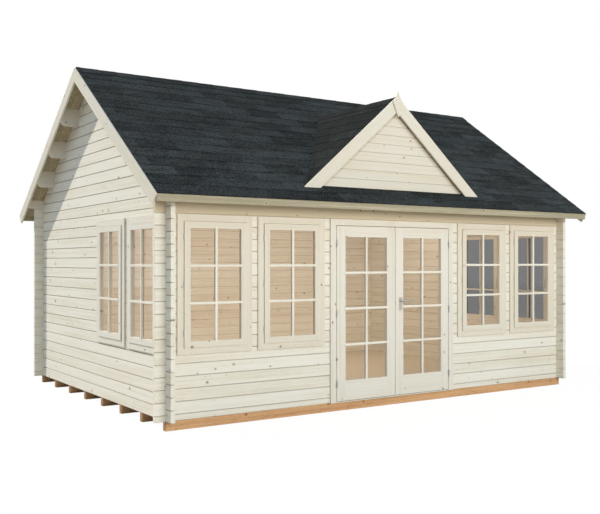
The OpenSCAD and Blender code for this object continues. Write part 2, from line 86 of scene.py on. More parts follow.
class Slope:
    """A layer of a roof slope: its run from the ridge to the eave, its pitch and its thickness."""

    def __init__(self, node, axis, side):
        points = [(side * co[axis], co[Z]) for co in corners(node) if side * co[axis] > 0]
        self.axis, self.side = axis, side
        near = min(run for run, _ in points)
        far = max(run for run, _ in points)
        tops = {run: max(z for r, z in points if abs(r - run) < 1e-4) for run in (near, far)}
        feet = {run: min(z for r, z in points if abs(r - run) < 1e-4) for run in (near, far)}
        self.near, self.foot = near, feet[near]
        self.pitch = math.atan2(tops[near] - tops[far], far - near)
        self.length = math.hypot(tops[near] - tops[far], far - near)
        self.thickness = (tops[near] - feet[near]) * math.cos(self.pitch)

    def place(self, along):
        """From a point of the ridge: local X runs along it, Y down the slope and Z out of it."""
        start = Vector((0, 0, self.foot))
        start[self.axis] = self.side * self.near
        start[1 - self.axis] = along
        if self.axis == Y:
            turn = 0 if self.side > 0 else math.pi
        else:
            turn = -math.pi / 2 if self.side > 0 else math.pi / 2
        turned = Matrix.Rotation(turn, 4, "Z") @ Matrix.Rotation(-self.pitch, 4, "X")
        return Matrix.Translation(start) @ turned

    def top_plane(self):
        """A point of the upper face and the direction out of it."""
        place = self.place(0)
        return place @ Vector((0, 0, self.thickness)), place.to_3x3() @ Vector((0, 0, 1))

    def foot_plane(self):
        """A point of the lower face and the direction out of the roof."""
        place = self.place(0)
        return place.translation, place.to_3x3() @ Vector((0, 0, 1))


# Settings

class TimberLooks(bpy.types.PropertyGroup):
    """Wood of the walls, the roof and the joinery"""
    spruce: bpy.props.FloatVectorProperty(
        name="Spruce", description="Pale wood of the logs", subtype="COLOR",
        default=srgb(236, 231, 218))
    spruce_grain: bpy.props.FloatVectorProperty(
        name="Spruce Grain", description="Late wood between the pale bands", subtype="COLOR",
        default=srgb(212, 198, 170))
    trim: bpy.props.FloatVectorProperty(
        name="Trim", description="Wood of barge boards, purlins and the front gable",
        subtype="COLOR", default=srgb(219, 213, 199))
    fascia: bpy.props.FloatVectorProperty(
        name="Eave Board", description="Wood of the eave boards", subtype="COLOR",
        default=srgb(157, 149, 125))
    # A little darker and warmer than the door wood: painted eave shade on the front windows
    joinery: bpy.props.FloatVectorProperty(
        name="Joinery", description="Wood of the front windows", subtype="COLOR",
        default=srgb(225, 217, 201))
    # Darker and warmer than the spruce: painted shade under the eave, on the head logs
    head: bpy.props.FloatVectorProperty(
        name="Head Logs", description="Logs under the eave, over the doors, darker and warmer as painted eave shade",
        subtype="COLOR", default=srgb(219, 205, 178))
    door: bpy.props.FloatVectorProperty(
        name="Door", description="Wood of the doors and of the side windows", subtype="COLOR",
        default=srgb(229, 224, 212))
    # Darker and browner than the spruce: painted shade of the soffits under the roof
    boards: bpy.props.FloatVectorProperty(
        name="Boards", description="Wood of the roof boards", subtype="COLOR",
        default=srgb(160, 146, 118))
    floor: bpy.props.FloatVectorProperty(
        name="Floor", description="Wood of the floor boards", subtype="COLOR",
        default=srgb(210, 198, 178))
    treated: bpy.props.FloatVectorProperty(
        name="Treated", description="Pressure-treated wood of the bearers", subtype="COLOR",
        default=srgb(219, 173, 126))
    treated_grain: bpy.props.FloatVectorProperty(
        name="Treated Grain", description="Grain of the treated wood", subtype="COLOR",
        default=srgb(152, 94, 52))
    knot: bpy.props.FloatVectorProperty(
        name="Knot", description="Heart of a knot", subtype="COLOR", default=srgb(112, 86, 62))
    seam: bpy.props.FloatVectorProperty(
        name="Seam", description="Depth of a V joint or of end grain", subtype="COLOR",
        default=srgb(124, 102, 80))
    course: bpy.props.FloatProperty(
        name="Course", description="Height of one course of logs", unit="LENGTH", default=0.114)
    knot_spacing: bpy.props.FloatProperty(
        name="Knot Spacing", description="Room that one knot may have", unit="LENGTH", default=0.15)


class RoofLooks(bpy.types.PropertyGroup):
    """Boards and shingles of the roof, and the boards of the floor and the front gable"""
    board: bpy.props.FloatProperty(
        name="Board", description="Width that a roof or floor board covers", unit="LENGTH",
        default=0.096)
    board_joint: bpy.props.FloatProperty(
        name="Board Joint", description="Chamfer at the edges of a board", unit="LENGTH",
        default=0.004)
    cladding: bpy.props.FloatProperty(
        name="Cladding", description="Height that a board of the front gable covers",
        unit="LENGTH", default=0.098)
    cladding_recess: bpy.props.FloatProperty(
        name="Cladding Recess", description="Depth of the gable boards behind the gable's front",
        unit="LENGTH", default=0.012)
    barge_shade: bpy.props.FloatProperty(
        name="Barge Shade", unit="LENGTH", default=0.05,
        description="Reach of the shade on the gable boards below a barge board")
    tab: bpy.props.FloatProperty(
        name="Tab", description="Width of one shingle tab", unit="LENGTH", default=0.42)
    exposure: bpy.props.FloatProperty(
        name="Exposure", description="Height of a shingle that shows below the next row",
        unit="LENGTH", default=0.168)
    head_lap: bpy.props.FloatProperty(
        name="Head Lap", description="Part of a tab under the next row", unit="LENGTH",
        default=0.05)
    slot: bpy.props.FloatProperty(
        name="Slot", description="Gap between two tabs", unit="LENGTH", default=0.003)
    tab_edge: bpy.props.FloatProperty(
        name="Tab Edge", description="Thickness of a tab at its lower edge", unit="LENGTH",
        default=0.003)
    cap: bpy.props.FloatProperty(
        name="Ridge Cap", description="Length that one ridge cap shows", unit="LENGTH",
        default=0.2)
    cap_wing: bpy.props.FloatProperty(
        name="Cap Wing", description="Width of a ridge cap on one slope", unit="LENGTH",
        default=0.11)
    slate: bpy.props.FloatVectorProperty(
        name="Slate", description="Mineral coat of a dark tab", subtype="COLOR",
        default=srgb(24, 26, 28))
    # Darkens the front gable's sunlit shingles: painted shade
    gable_painted_shade: bpy.props.FloatProperty(
        name="Gable Shade", description="Share of the others' colour left on the front gable's shingles, as painted shade",
        default=0.48)
    moss: bpy.props.FloatVectorProperty(
        name="Moss", description="Mineral coat of a pale tab", subtype="COLOR",
        default=srgb(72, 78, 77))


class GlazingLooks(bpy.types.PropertyGroup):
    """Glass and glazing bars"""
    bar: bpy.props.FloatProperty(
        name="Bar", description="Width of a glazing bar", unit="LENGTH", default=0.024)
    bar_cap: bpy.props.FloatProperty(
        name="Bar Cap", description="Thickness of a bar in front of the sash", unit="LENGTH",
        default=0.004)
    bar_inside: bpy.props.FloatProperty(
        name="Bar Inside", description="Thickness of a bar behind the glass", unit="LENGTH",
        default=0.005)
    bar_lap: bpy.props.FloatProperty(
        name="Bar Lap", description="Lap of a bar over the sash", unit="LENGTH", default=0.016)
    window_rows: bpy.props.IntProperty(
        name="Window Rows", description="Rows of panes in a window", default=3)
    door_rows: bpy.props.IntProperty(
        name="Door Rows", description="Rows of panes in a door leaf", default=4)
    clear: bpy.props.FloatVectorProperty(
        name="Clear Glass", description="Light that clear glass lets through", subtype="COLOR",
        default=(0.96, 0.935, 0.92))
    # Darker than the clear glass: painted shade in the right side's windows, seen through the room
    toned: bpy.props.FloatVectorProperty(
        name="Shade Darkened Glass", subtype="COLOR", default=(0.415, 0.43, 0.442),
        description="Light that the right side's glass lets through, darkened as painted shade")


class FittingLooks(bpy.types.PropertyGroup):
    """Hinges and catches"""
    steel: bpy.props.FloatVectorProperty(
        name="Steel", description="Satin steel", subtype="COLOR", default=srgb(226, 225, 220))
    barrel: bpy.props.FloatProperty(
        name="Barrel", description="Radius of a window hinge", unit="LENGTH", default=0.005)
    barrel_height: bpy.props.FloatProperty(
        name="Barrel Height", description="Height of a window hinge", unit="LENGTH", default=0.056)
    catch: bpy.props.FloatProperty(
        name="Catch", description="Length of a window catch", unit="LENGTH", default=0.11)


class StageLooks(bpy.types.PropertyGroup):
    """Camera, lamps and floor"""
    eye: bpy.props.FloatVectorProperty(
        name="Eye", description="Place of the camera", subtype="TRANSLATION", unit="LENGTH",
        default=(-5.814, -8.843, 1.521))
    aim: bpy.props.FloatVectorProperty(
        name="Aim", description="Turn of the camera", subtype="EULER",
        default=(math.radians(90.35), 0.0, math.radians(-33.47)))
    lens: bpy.props.FloatProperty(
        name="Lens", description="Focal length on a 36 mm sensor, in millimetres", default=50.415)
    sun_path: bpy.props.FloatVectorProperty(
        name="Sun Path", description="Direction in which the sunlight travels", subtype="XYZ",
        default=(0.461, -0.617, -0.638))
    sun: bpy.props.FloatProperty(
        name="Sun", description="Strength of the sun", default=3.0)
    front: bpy.props.FloatProperty(
        name="Front", description="Power of the soft lamp before the house", unit="POWER",
        default=820.0)
    inside: bpy.props.FloatProperty(
        name="Inside", description="Power of the soft lamp in the room", unit="POWER",
        default=62.0)
    horizon: bpy.props.FloatVectorProperty(
        name="Horizon", description="Soft light from the sides", subtype="COLOR",
        default=(0.44, 0.555, 0.645))
    sky: bpy.props.FloatVectorProperty(
        name="Sky", description="Soft light from overhead", subtype="COLOR",
        default=(0.36, 0.48, 0.63))
    floor: bpy.props.FloatProperty(
        name="Floor", description="Length of the floor's sides", unit="LENGTH", default=80.0)


# Node trees: one class for a socket, one for a tree

class Wire:
    """A socket's output. Arithmetic on it adds Math nodes to its tree."""

    def __init__(self, graph, socket):
        self.graph, self.socket = graph, socket

    def out(self, name):
        """Another output of the same node."""
        return Wire(self.graph, self.socket.node.outputs[name])

    def math(self, operation, *values):
        values = dict(enumerate(values))
        return self.graph.add("ShaderNodeMath", {"operation": operation}, values)

    def __add__(self, other):
        return self.math("ADD", self, other)

    def __sub__(self, other):
        return self.math("SUBTRACT", self, other)

    def __rsub__(self, other):
        return self.math("SUBTRACT", other, self)

    def __mul__(self, other):
        return self.math("MULTIPLY", self, other)

    def __truediv__(self, other):
        return self.math("DIVIDE", self, other)

    def __rtruediv__(self, other):
        return self.math("DIVIDE", other, self)

    def __mod__(self, other):
        return self.math("FLOORED_MODULO", self, other)

    def __lt__(self, other):
        return self.math("LESS_THAN", self, other)

    def __gt__(self, other):
        return self.math("GREATER_THAN", self, other)

    def __abs__(self):
        return self.math("ABSOLUTE", self)

    __radd__ = __add__
    __rmul__ = __mul__

    def floor(self):
        return self.math("FLOOR", self)

    def clamp(self):
        return self.graph.add("ShaderNodeClamp", {}, {"Value": self})


class Graph:
    """Adds nodes to one tree."""

    def __init__(self, tree):
        self.tree = tree

    def add(self, kind, settings=None, sockets=None, output=0):
        """A node of a kind: its settings first, then the values or links of its sockets."""
        node = self.tree.nodes.new(kind)
        for name, value in (settings or {}).items():
            setattr(node, name, value)
        known = {socket.identifier: socket for socket in node.inputs}
        for name, value in (sockets or {}).items():
            if isinstance(name, str) and name in known:
                socket = known[name]
            else:
                socket = node.inputs[name]
            if isinstance(value, Wire):
                self.tree.links.new(value.socket, socket)
            else:
                socket.default_value = value
        return Wire(self, node.outputs[output]) if node.outputs else None

    def mix(self, share, first, second):
        """The colour between two colours."""
        def colour(value):
            return value if isinstance(value, Wire) else (*value, 1.0)
        return self.add("ShaderNodeMix", {"data_type": "RGBA"}, {
            "Factor_Float": share, "A_Color": colour(first), "B_Color": colour(second),
        }, 2)

    def vector(self, x, y, z):
        return self.add("ShaderNodeCombineXYZ", {}, {"X": x, "Y": y, "Z": z})

    def noise(self, vector, scale, detail=2.0, roughness=0.5):
        return self.add("ShaderNodeTexNoise", {}, {
            "Vector": vector, "Scale": scale, "Detail": detail, "Roughness": roughness,
        }, "Fac")

    def place(self):
        """The three coordinates of a point, in the frame's metres."""
        spot = self.add("ShaderNodeTexCoord", output="Object")
        parts = self.add("ShaderNodeSeparateXYZ", {}, {"Vector": spot})
        return parts, parts.out("Y"), parts.out("Z")


class Finish(Graph):
    """A material and its tree."""

    def __init__(self, name):
        self.material = bpy.data.materials.new(name)
        self.material.use_nodes = True
        super().__init__(self.material.node_tree)
        self.tree.nodes.clear()

    def surface(self, shader):
        self.add("ShaderNodeOutputMaterial", {}, {"Surface": shader})
        return self.material

    def coat(self, colour, roughness, height, strength, depth, **constants):
        """A Principled surface with a bump, as most of the house has."""
        bump = self.add("ShaderNodeBump", {}, {
            "Height": height, "Strength": strength, "Distance": depth,
        })
        shader = self.add("ShaderNodeBsdfPrincipled", {}, {
            "Base Color": colour, "Roughness": roughness, "Normal": bump, **constants,
        })
        return self.surface(shader)


# Finishes

def timber(name, looks, pale, grain=None, axes="xzy", chance=None, knots=0.3, rail=None,
           slant=None, dark=None):
    """Planed wood. The axes are those along the grain, across the face and through the piece.

    chance(finish, x, y, z) gives each log or board a number of its own.
    rail(x, y, z) gives the share by which the grain turns to run across, on rails between stiles.
    slant is a pitch: the grain of a pair of sloping boards then follows it on both sides.
    dark(x, y, z) gives the share of shade in joints or on end grain.
    """
    finish = Finish(name)
    spot = dict(zip("xyz", finish.place()))
    along, across, through = (spot[axis] for axis in axes)
    if slant:
        run, rise = abs(along), across
        along = run * math.cos(slant) - rise * math.sin(slant)
        across = run * math.sin(slant) + rise * math.cos(slant)
    if rail:
        share = rail(**spot)
        turned = along
        along = along + share * (across - along)
        across = across + share * (turned - across)
    own = chance(finish, **spot) if chance else 0.37
    shift = own * 31.0

    def drawn_out(lengthwise, crosswise, detail=2.0, roughness=0.5, offset=None):
        """Noise that is drawn out along the grain, at so many waves in a metre."""
        level = across * crosswise
        place = finish.vector(
            along * lengthwise + shift, level + offset if offset else level, through * crosswise)
        return finish.noise(place, 1.0, detail, roughness)

    fibres = drawn_out(7.0, 330.0, detail=1.0)
    bands = drawn_out(0.7, 44.0, detail=3.0, roughness=0.6, offset=shift)
    broad = drawn_out(1.1, 5.0)
    flecks = ((drawn_out(24.0, 120.0, roughness=0.6) - 0.56) * 6.0).clamp()
    room = looks.knot_spacing
    smallest, spread, soft_edge, glow = 0.004, 0.008, 0.004, 0.02
    knot_spot = finish.vector(along / (1.3 * room) + shift, across / room, 0.0)
    cells = finish.add("ShaderNodeTexVoronoi", {"voronoi_dimensions": "2D"}, {
        "Vector": knot_spot, "Scale": 1.0,
    }, "Distance")
    luck = finish.add("ShaderNodeSeparateColor", {}, {"Color": cells.out("Color")}, "Red")
    reach = cells * room
    radius = smallest + spread * luck.out("Green")
    there = luck < knots
    depth = 0.35 + 0.6 * luck.out("Blue")
    heart = ((radius - reach) / soft_edge + 0.5).clamp() * there * depth
    halo = ((radius * 2.6 - reach) / glow).clamp() * there
    share = (0.12 + 1.5 * (bands - 0.5) + 0.5 * (fibres - 0.5) + 0.5 * (broad - 0.5)
             + 0.4 * flecks)
    if chance:
        share = share + 0.3 * (own - 0.5)
    share = (share + 0.5 * halo).clamp()
    wood = finish.mix(share, pale, grain or looks.spruce_grain)
    colour = finish.mix(heart, wood, looks.knot)
    if dark:
        colour = finish.mix(dark(**spot), colour, looks.seam)
    height = bands * 0.5 + fibres * 0.4 - heart * 0.6
    return finish.coat(
        colour, 0.58 + 0.2 * fibres, height, 0.25, 0.002, **{"Specular IOR Level": 0.3})


def seams(start, pitch, depth, reach=0.0065, through="y", middle=0.0):
    """The shade in the level V joints of logs or boards, fainter on the room's side of a wall."""
    inside = 0.35

    def dark(**spot):
        near = abs(((spot["z"] - start) / pitch + 0.5) % 1.0 - 0.5) * pitch
        outside = abs(spot[through]) > middle
        shade = ((reach - near) / (0.6 * reach)).clamp() * depth
        return shade * (inside + (1.0 - inside) * outside)
    return dark


def own_course(foot, pitch):
    """The number that each log of a wall has, from its course."""
    def chance(finish, x, y, z):
        course = ((z - foot) / pitch).floor()
        return finish.add("ShaderNodeTexWhiteNoise", {"noise_dimensions": "1D"}, {"W": course})
    return chance


def own_board(finish, x, y, z):
    """The number that each board carries."""
    return finish.add("ShaderNodeAttribute", {"attribute_name": TONE}, output="Fac")


def shingle_finish(name, looks, shade=1.0):
    """Bitumen with a mineral coat; each tab has a tone of its own."""
    finish = Finish(name)
    x, y, z = finish.place()
    spot = finish.vector(x, y, z)
    tone = finish.add("ShaderNodeAttribute", {"attribute_name": TONE}, output="Fac")
    grit = finish.noise(spot, 420.0, 2.0, 0.7)
    mottle = finish.noise(spot, 70.0, 3.0, 0.7)
    streak = finish.noise(finish.vector(x * 4.0, y * 14.0, z * 14.0), 1.0, 3.0, 0.6)
    share = (0.3 + 0.45 * (tone - 0.5) + 3.4 * (mottle - 0.5) + 1.2 * (grit - 0.5)
             + 1.1 * (streak - 0.5))
    # A shade below 1 darkens both coats: painted shade on the front gable's sunlit slope
    slate, moss = (tuple(shade * level for level in coat) for coat in (looks.slate, looks.moss))
    colour = finish.mix(share.clamp(), slate, moss)
    return finish.coat(
        colour, 0.8 + 0.3 * (grit - 0.5), grit + mottle * 0.4, 0.5, 0.002,
        **{"Specular IOR Level": 0.06})


def glass_finish(name, tint):
    """Thin clear glass: it lets light through and mirrors more at a flat angle."""
    finish = Finish(name)
    x, y, z = finish.place()
    haze = finish.noise(finish.vector(x, y, z), 2.3, 2.0)
    mirror = finish.add("ShaderNodeFresnel", {}, {"IOR": 1.42})
    clear = finish.add("ShaderNodeBsdfTransparent", {}, {"Color": (*tint, 1.0)})
    gloss = finish.add("ShaderNodeBsdfGlossy", {}, {
        "Color": (0.92, 0.95, 0.96, 1.0), "Roughness": 0.02 + 0.03 * haze,
    })
    outside = 1.0 - finish.add("ShaderNodeNewGeometry", output="Backfacing")
    share = (mirror * (0.75 + 0.3 * haze)).clamp() * outside
    shader = finish.add("ShaderNodeMixShader", {}, {0: share, 1: clear, 2: gloss})
    return finish.surface(shader)


def steel_finish(looks):
    """Satin steel, drawn along its length, with a little wear."""
    finish = Finish("satin_steel")
    x, y, z = finish.place()
    lines = finish.noise(finish.vector(x * 900.0, y * 900.0, z * 40.0), 1.0, 2.0)
    marks = finish.noise(finish.vector(x, y, z), 55.0, 3.0, 0.6)
    dark = tuple(0.62 * level for level in looks.steel)
    colour = finish.mix((marks * 0.7).clamp(), looks.steel, dark)
    return finish.coat(colour, 0.26 + 0.18 * lines, lines, 0.12, 0.0004, Metallic=1.0)


def floor_finish():
    """A pale floor that looks white and keeps the shadow of the house."""
    finish = Finish("pale_floor")
    x, y, z = finish.place()
    speckle = finish.noise(finish.vector(x, y, z), 3.0)
    sand, pale = (0.44, 0.395, 0.34), (0.48, 0.435, 0.38)
    glow, cover = 1.11, 0.86
    colour = finish.mix(speckle, sand, pale)
    matt = finish.add("ShaderNodeBsdfDiffuse", {}, {"Color": colour})
    white = finish.add("ShaderNodeEmission", {}, {
        "Color": (1.0, 1.0, 1.0, 1.0), "Strength": glow,
    })
    seen = finish.add("ShaderNodeLightPath", output="Is Camera Ray")
    shader = finish.add("ShaderNodeMixShader", {}, {0: seen * cover, 1: matt, 2: white})
    return finish.surface(shader)


# Meshes

def new_object(name, mesh):
    """An object for a mesh, at the origin."""
    piece = bpy.data.objects.new(name, mesh)
    bpy.context.scene.collection.objects.link(piece)
    return piece


def add_prism(shape, section, start, end, shear=0.0, axis=Y):
    """Draws a section along an axis: X and Z along Y, Y and Z along X, or X and Y along Z.

    Along Y, the shear leans both ends back, as a plumb cut does.
    """
    corner = {
        X: lambda run, u, v: (run, u, v),
        Y: lambda run, u, v: (u, run - v * shear, v),
        Z: lambda run, u, v: (u, v, run),
    }[axis]
    rings = [[shape.verts.new(corner(run, u, v)) for u, v in section] for run in (start, end)]
    count = len(section)
    for i in range(count):
        j = (i + 1) % count
        shape.faces.new((rings[0][i], rings[0][j], rings[1][j], rings[1][i]))
    shape.faces.new(rings[0])
    shape.faces.new(reversed(rings[1]))


def template(name, *prisms):
    """A closed object of one or more prisms, to be copied."""
    shape = bmesh.new()
    for prism in prisms:
        add_prism(shape, *prism)
    bmesh.ops.recalc_face_normals(shape, faces=shape.faces)
    mesh = bpy.data.meshes.new(name)
    shape.to_mesh(mesh)
    shape.free()
    return new_object(name, mesh)


def oval(half_width, half_height, count, lift=0.0):
    """A section with an oval outline."""
    turns = (math.tau * i / count for i in range(count))
    return [(half_width * math.cos(turn), half_height * math.sin(turn) + lift) for turn in turns]


def chamfered(width, low, high, foot=0.0, head=0.0):
    """A board's section, with chamfers at its foot and head."""
    half = width / 2
    section = [(-half + foot, low), (half - foot, low)]
    if foot:
        section.append((half, low + foot))
    section.append((half, high - head))
    if head:
        section += [(half - head, high), (-half + head, high)]
    section.append((-half, high - head))
    if foot:
        section.append((-half, low + foot))
    return section


def rows_tree():
    """Copies of one template in rows: boards, shingles, bars, hinges and catches."""
    tree = bpy.data.node_groups.new("copies_in_rows", "GeometryNodeTree")
    face = tree.interface
    face.new_socket("Geometry", in_out="OUTPUT", socket_type="NodeSocketGeometry")
    for name, kind in (
        ("Template", "Object"), ("Finish", "Material"), ("Columns", "Int"), ("Rows", "Int"),
        ("Column Pitch", "Float"), ("Row Pitch", "Float"), ("Row Shift", "Float"),
        ("Wander", "Float"), ("Lift", "Float"), ("Place", "Vector"), ("Turn", "Rotation"),
        ("Seed", "Int"),
    ):
        face.new_socket(name, in_out="INPUT", socket_type="NodeSocket" + kind)
    graph = Graph(tree)
    given = graph.add("NodeGroupInput")
    index = graph.add("GeometryNodeInputIndex")
    column = index % given.out("Columns")
    row = (index / given.out("Columns")).floor()

    def chance(offset, low, high):
        return graph.add("FunctionNodeRandomValue", {"data_type": "FLOAT"}, {
            "Min_001": low, "Max_001": high, "ID": index, "Seed": given.out("Seed") + offset,
        }, 1)

    wander = chance(0, -1.0, 1.0) * given.out("Wander")
    spot = graph.vector(
        column * given.out("Column Pitch") + (row % 2) * given.out("Row Shift") + wander,
        row * given.out("Row Pitch"),
        chance(1, 0.0, 1.0) * given.out("Lift"))
    points = graph.add("GeometryNodePoints", {}, {
        "Count": given.out("Columns") * given.out("Rows"), "Position": spot,
    })
    toned = graph.add("GeometryNodeStoreNamedAttribute", {"data_type": "FLOAT"}, {
        "Geometry": points, "Name": TONE, "Value": chance(2, 0.0, 1.0),
    })
    shape = graph.add("GeometryNodeObjectInfo", {}, {"Object": given.out("Template")}, "Geometry")
    made = graph.add("GeometryNodeInstanceOnPoints", {}, {
        "Points": toned, "Instance": shape,
    })
    placed = graph.add("GeometryNodeTransform", {}, {
        "Geometry": made, "Translation": given.out("Place"), "Rotation": given.out("Turn"),
    })
    solid = graph.add("GeometryNodeRealizeInstances", {}, {"Geometry": placed})
    dressed = graph.add("GeometryNodeSetMaterial", {}, {
        "Geometry": solid, "Material": given.out("Finish"),
    })
    graph.add("NodeGroupOutput", {}, {"Geometry": dressed})
    return tree


def copies(name, shape, finish, place, columns=1, rows=1, column_pitch=0.0, row_pitch=0.0,
           row_shift=0.0, wander=0.0, lift=0.0, seed=0):
    """A plain mesh of a template's copies, from the tree, in an object of its own."""
    tree = bpy.data.node_groups.get("copies_in_rows") or rows_tree()
    values = {
        "Template": shape, "Finish": finish, "Columns": columns, "Rows": rows,
        "Column Pitch": column_pitch, "Row Pitch": row_pitch, "Row Shift": row_shift,
        "Wander": wander, "Lift": lift, "Place": place.translation,
        "Turn": place.to_euler(), "Seed": seed,
    }
    piece = bpy.data.objects.new(name, bpy.data.meshes.new(name))
    modifier = piece.modifiers.new("rows", "NODES")
    modifier.node_group = tree
    for socket in tree.interface.items_tree:
        if socket.in_out == "INPUT":
            modifier[socket.identifier] = values[socket.name]
    bpy.context.scene.collection.objects.link(piece)
    graph = bpy.context.evaluated_depsgraph_get()
    mesh = bpy.data.meshes.new_from_object(piece.evaluated_get(graph), depsgraph=graph)
    piece.modifiers.clear()
    piece.data = mesh
    return piece


def joined(name, pieces):
    """One object of several."""
    first = pieces[0]
    if len(pieces) > 1:
        with bpy.context.temp_override(
                active_object=first, object=first, selected_objects=pieces,
                selected_editable_objects=pieces):
            bpy.ops.object.join()
    first.name = first.data.name = name
    return first


def cut(piece, point, outward):
    """Cuts off what lies beyond a plane, and closes the cut."""
    shape = bmesh.new()
    shape.from_mesh(piece.data)
    made = bmesh.ops.bisect_plane(
        shape, geom=[*shape.verts, *shape.edges, *shape.faces], plane_co=point,
        plane_no=outward, clear_outer=True, dist=1e-6)
    rims = [e for e in made["geom_cut"] if isinstance(e, bmesh.types.BMEdge) and e.is_boundary]
    bmesh.ops.holes_fill(shape, edges=rims)
    bmesh.ops.recalc_face_normals(shape, faces=shape.faces)
    shape.to_mesh(piece.data)
    shape.free()


def clear_away(*shapes):
    """Removes templates once their copies are made."""
    for shape in shapes:
        bpy.data.objects.remove(shape)


def settle(piece, body, slot, *nodes):
    """Puts a finished piece on its body, in place of CAD nodes. The slot is not used."""
    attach(piece, body)
    if nodes:
        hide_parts(*nodes)


def dress(material, *nodes):
    """Gives CAD nodes a material."""
    for node in nodes:
        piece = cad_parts[node]
        if not piece.material_slots:
            piece.data.materials.append(material)
        for slot in piece.material_slots:
            slot.material = material


WALL_TURNS = {"front": 0.0, "left": -math.pi / 2, "right": math.pi / 2}
OUTWARD = {"front": -1, "left": -1, "right": 1}


def extent(node, axis, sign):
    """How far a node goes along an axis, in the direction of the sign."""
    return max(sign * end[axis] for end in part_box(node))


def wall_spot(side, run, height, out):
    """The move to a point of a wall."""
    return Matrix.Translation((run, out, height) if side == "front" else (out, run, height))


def on_wall(side, run, height, out, across=False):
    """Local X runs along a wall, Y up and Z out of it; across turns X up for level pieces."""
    turn = Matrix.Rotation(WALL_TURNS[side], 4, "Z") @ Matrix.Rotation(math.pi / 2, 4, "X")
    if across:
        turn = turn @ Matrix.Rotation(math.pi / 2, 4, "Z")
    return wall_spot(side, run, height, out) @ turn


# Operators

class SUMMERHOUSE_OT_timber(bpy.types.Operator):
    """Gives the logs, purlins, trim, doors, windows and bearers of the frame their wood"""
    bl_idname = "summer_house.timber"
    bl_label = "Timber"

    def execute(self, context):
        looks = context.scene.summer_house_timber
        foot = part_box("left_wall")[0].z
        course = looks.course
        half = foot - course / 2
        side_middle = sum(abs(end.x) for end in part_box("right_gable")) / 2
        long_middle = sum(abs(end.y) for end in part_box("front_wall_head")) / 2
        dress(timber("side_logs", looks, looks.spruce, axes="yzx",
                     chance=own_course(foot, course),
                     dark=seams(foot, course, 0.6, through="x", middle=side_middle)),
              "left_wall", "right_wall", "left_gable", "right_gable")
        dress(timber("long_logs", looks, looks.spruce, axes="xzy",
                     chance=own_course(half, course),
                     dark=seams(half, course, 0.42, middle=long_middle)),
              "front_wall_left", "front_wall_right", "back_wall")
        # The head logs' darker, warmer colour is painted eave shade
        dress(timber("head_logs", looks, looks.head, axes="xzy",
                     chance=own_course(half, course)),
              "front_wall_head")
        pitch = Slope("roof_boards_front", Y, -1).pitch
        gable_pitch = Slope("dormer_boards", X, -1).pitch
        dress(timber("purlin_wood", looks, looks.trim, axes="xzy", knots=0.2), "purlins")
        dress(timber("barge_wood", looks, looks.trim, axes="yzx", knots=0.12, slant=pitch),
              "barge_boards_left", "barge_boards_right")
        dress(timber("eave_wood", looks, looks.fascia, axes="xzy", knots=0.5),
              "eave_board_front", "eave_board_back")
        dress(timber("gable_trim_wood", looks, looks.trim, axes="xzy", knots=0.12,
                     slant=gable_pitch),
              "dormer_barge_boards")
        dress(timber("finial_wood", looks, looks.trim, axes="zxy", knots=0.0), "finial")
        sawn_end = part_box("bearers")[1].x - 0.002
        dress(timber("bearer_wood", looks, looks.treated, looks.treated_grain, "xzy", knots=0.4,
                     dark=lambda x, y, z: (abs(x) > sawn_end) * 0.6),
              "bearers")
        self.dress_joinery(looks)
        return {"FINISHED"}

    def dress_joinery(self, looks):
        """Doors and windows have upright grain in stiles and level grain in rails."""
        lap = 0.0004

        def between(panes, mirrored):
            middle = sum(abs(end) if mirrored else end for pane in panes for end in pane)
            middle /= 2 * len(panes)
            centres = [abs(sum(pane) / 2) if mirrored else sum(pane) / 2 for pane in panes]
            step = max(abs(centre - middle) for centre in centres)
            half = (panes[0][1] - panes[0][0]) / 2 + lap

            def rail(run):
                run = abs(run) if mirrored else run
                return abs(abs(run - middle) - step) < half
            return rail

        front = between(stretches("window_glass_front", X), True)
        side = between(stretches("window_glass_left", Y), False)
        doors = stretches("door_glass_left", X) + stretches("door_glass_right", X)
        door = between(doors, True)
        # The front windows' wood holds painted eave shade
        dress(timber("front_joinery", looks, looks.joinery, axes="zxy", knots=0.14,
                     rail=lambda x, y, z: front(x)),
              "window_frames_front", "window_sashes_front")
        dress(timber("side_joinery", looks, looks.door, axes="zyx", knots=0.14,
                     rail=lambda x, y, z: side(y)),
              "window_frames_left", "window_sashes_left",
              "window_frames_right", "window_sashes_right")
        dress(timber("door_joinery", looks, looks.door, axes="zxy", knots=0.2,
                     rail=lambda x, y, z: door(x)),
              "door_frame", "door_leaf_left", "door_leaf_right")


class SUMMERHOUSE_OT_floor_boards(bpy.types.Operator):
    """Lays the floor boards from front to back over the bearers"""
    bl_idname = "summer_house.floor_boards"
    bl_label = "Floor Boards"

    def execute(self, context):
        looks = context.scene.summer_house_roof
        wood = context.scene.summer_house_timber
        low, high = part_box("floor")
        count = round((high.x - low.x) / looks.board)
        pitch = (high.x - low.x) / count
        section = chamfered(pitch - FLOOR_GAP, 0.0, high.z - low.z, head=looks.board_joint / 2)
        board = template("floor_board", (section, low.y, high.y))
        finish = timber("floor_wood", wood, wood.floor, axes="yxz", chance=own_board, knots=0.35)
        floor = copies(
            "floor_boards", board, finish,
            Matrix.Translation((low.x + pitch / 2, 0, low.z)), columns=count, column_pitch=pitch)
        clear_away(board)
        settle(floor, "house", "floor_wood", "floor")
        return {"FINISHED"}


